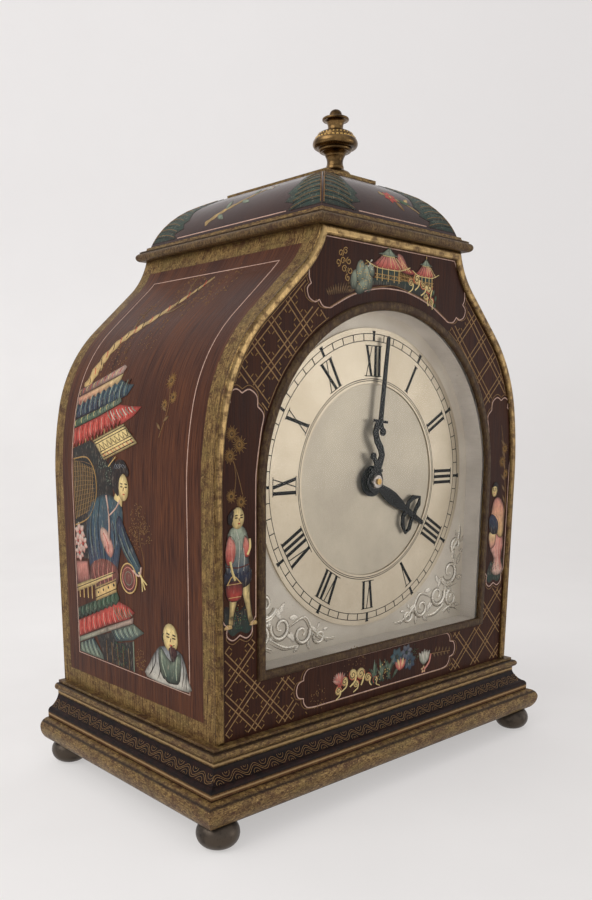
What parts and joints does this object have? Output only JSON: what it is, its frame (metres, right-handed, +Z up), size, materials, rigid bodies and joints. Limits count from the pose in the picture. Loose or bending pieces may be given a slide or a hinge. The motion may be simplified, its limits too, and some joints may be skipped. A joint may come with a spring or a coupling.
{
  "type": "bracket clock",
  "caption": "Spring-driven bracket clock in a waisted, painted and lacquered timber case with a domed cap, turned finial, arched silvered dial and bun feet.",
  "frame": {"origin": "on the floor under the middle of the clock's box", "axes": "+Z up, front of the dial towards -Y, +X to the right seen from the front"},
  "size_m": [0.1948, 0.1198, 0.2572],
  "materials": {
    "lacquer": "satin",
    "gilt_moulding": "satin",
    "dark_frieze": "satin",
    "bare_wood": "matte",
    "aged_brass": "satin",
    "dark_bronze": "satin",
    "steel": "polished",
    "blued_steel": "satin",
    "silvered": "matte",
    "clear_glass": "polished"
  },
  "bodies": {
    "case": {"bun_feet": "dark_bronze", "foot_screws": "steel", "base_board": "bare_wood", "plinth_bullnose": "gilt_moulding", "plinth_frieze": "dark_frieze", "floor_board": "gilt_moulding", "side_panel_right": "lacquer", "side_panel_left": "lacquer", "front_panel": "lacquer", "front_edge_bead": "gilt_moulding", "opening_bead": "gilt_moulding", "dial_glass": "clear_glass", "dial_slip": "silvered", "back_frame": "lacquer", "hinge_frame_leaves": "aged_brass", "hinge_pins": "aged_brass", "top_board": "bare_wood", "cornice_slab": "gilt_moulding", "cap_moulding": "gilt_moulding", "dome_cap": "lacquer", "top_platform": "gilt_moulding", "finial_stem": "aged_brass", "finial_disc": "aged_brass", "finial_cap": "aged_brass", "finial_rod": "steel", "finial_nut": "aged_brass", "dial_plate": "silvered", "chapter_ring": "silvered", "dial_centre": "silvered", "dial_screws": "steel", "movement_front_plate": "aged_brass", "movement_back_plate": "aged_brass", "movement_pillars": "aged_brass", "movement_screws": "steel", "click_spring": "steel", "platform_plate": "aged_brass", "balance_spring": "steel", "balance_cock": "aged_brass"},
    "door": {"rear_door": "lacquer", "hinge_door_leaves": "aged_brass", "door_pull": "aged_brass"},
    "centre_arbor": {"centre_wheel": "aged_brass", "cannon_pinion": "steel", "minute_hand": "blued_steel", "hand_nut": "steel", "hand_set_knob": "aged_brass"},
    "hour_pipe": {"hour_wheel": "aged_brass", "hour_hand": "blued_steel"},
    "minute_arbor": {"minute_wheel": "aged_brass"},
    "barrel": {"mainspring_barrel": "aged_brass", "mainspring": "steel"},
    "winding_arbor": {"barrel_arbor": "steel", "ratchet_wheel": "steel"},
    "ratchet_click": {"click": "steel"},
    "third_arbor": {"third_wheel": "aged_brass"},
    "contrate_arbor": {"contrate_wheel": "aged_brass"},
    "escape_arbor": {"escape_wheel": "steel"},
    "pallet_fork": {"pallet_lever": "steel"},
    "balance": {"balance_wheel": "aged_brass"},
    "regulator": {"regulator_index": "steel"}
  },
  "joints": [
    {"name": "minute_hand_turn", "type": "hinge", "parent": "case", "child": "centre_arbor", "pos_m": [0, -0.015, 0.1187], "axis": [0, 1, 0], "continuous": true},
    {"name": "hour_hand_turn", "type": "hinge", "parent": "case", "child": "hour_pipe", "pos_m": [0, -0.036, 0.1187], "axis": [0, 1, 0], "continuous": true},
    {"name": "minute_wheel_turn", "type": "hinge", "parent": "case", "child": "minute_arbor", "pos_m": [0.01039, -0.033, 0.1127], "axis": [0, 1, 0], "continuous": true},
    {"name": "barrel_turn", "type": "hinge", "parent": "case", "child": "barrel", "pos_m": [-0.01, -0.015, 0.09855], "axis": [0, 1, 0], "continuous": true},
    {"name": "third_wheel_turn", "type": "hinge", "parent": "case", "child": "third_arbor", "pos_m": [0.01, -0.015, 0.13367], "axis": [0, 1, 0], "continuous": true},
    {"name": "contrate_wheel_turn", "type": "hinge", "parent": "case", "child": "contrate_arbor", "pos_m": [0, -0.015, 0.14468], "axis": [0, 1, 0], "continuous": true},
    {"name": "escape_wheel_turn", "type": "hinge", "parent": "case", "child": "escape_arbor", "pos_m": [0, -0.01275, 0.16], "axis": [0, 0, 1], "continuous": true},
    {"name": "lever_swing", "type": "hinge", "parent": "case", "child": "pallet_fork", "pos_m": [0.0068, -0.01275, 0.16], "axis": [0, 0, 1], "range_deg": [-5, 5]},
    {"name": "balance_swing", "type": "hinge", "parent": "case", "child": "balance", "pos_m": [0.0136, -0.01275, 0.162], "axis": [0, 0, 1], "range_deg": [-135, 135], "stiffness_Nm_per_rad": 0.000004},
    {"name": "regulator_shift", "type": "hinge", "parent": "case", "child": "regulator", "pos_m": [0.0136, -0.01275, 0.167], "axis": [0, 0, 1], "range_deg": [-25, 25]},
    {"name": "winding_turn", "type": "hinge", "parent": "case", "child": "winding_arbor", "pos_m": [-0.01, 0, 0.09855], "axis": [0, 1, 0], "range_deg": [0, 1980]},
    {"name": "click_lift", "type": "hinge", "parent": "case", "child": "ratchet_click", "pos_m": [0.0022, 0, 0.10475], "axis": [0, 1, 0], "range_deg": [0, 8], "stiffness_Nm_per_rad": 0.0002},
    {"name": "rear_door_swing", "type": "hinge", "parent": "case", "child": "door", "pos_m": [-0.05025, 0.05835, 0.09], "axis": [0, 0, 1], "range_deg": [0, 110]}
  ],
  "couplings": [
    {"joint": "hour_hand_turn", "follows": "minute_hand_turn", "ratio": 0.083333},
    {"joint": "minute_wheel_turn", "follows": "minute_hand_turn", "ratio": -0.33333},
    {"joint": "barrel_turn", "follows": "minute_hand_turn", "ratio": -0.125},
    {"joint": "third_wheel_turn", "follows": "minute_hand_turn", "ratio": -8},
    {"joint": "contrate_wheel_turn", "follows": "minute_hand_turn", "ratio": 60},
    {"joint": "escape_wheel_turn", "follows": "minute_hand_turn", "ratio": -600}
  ]
}
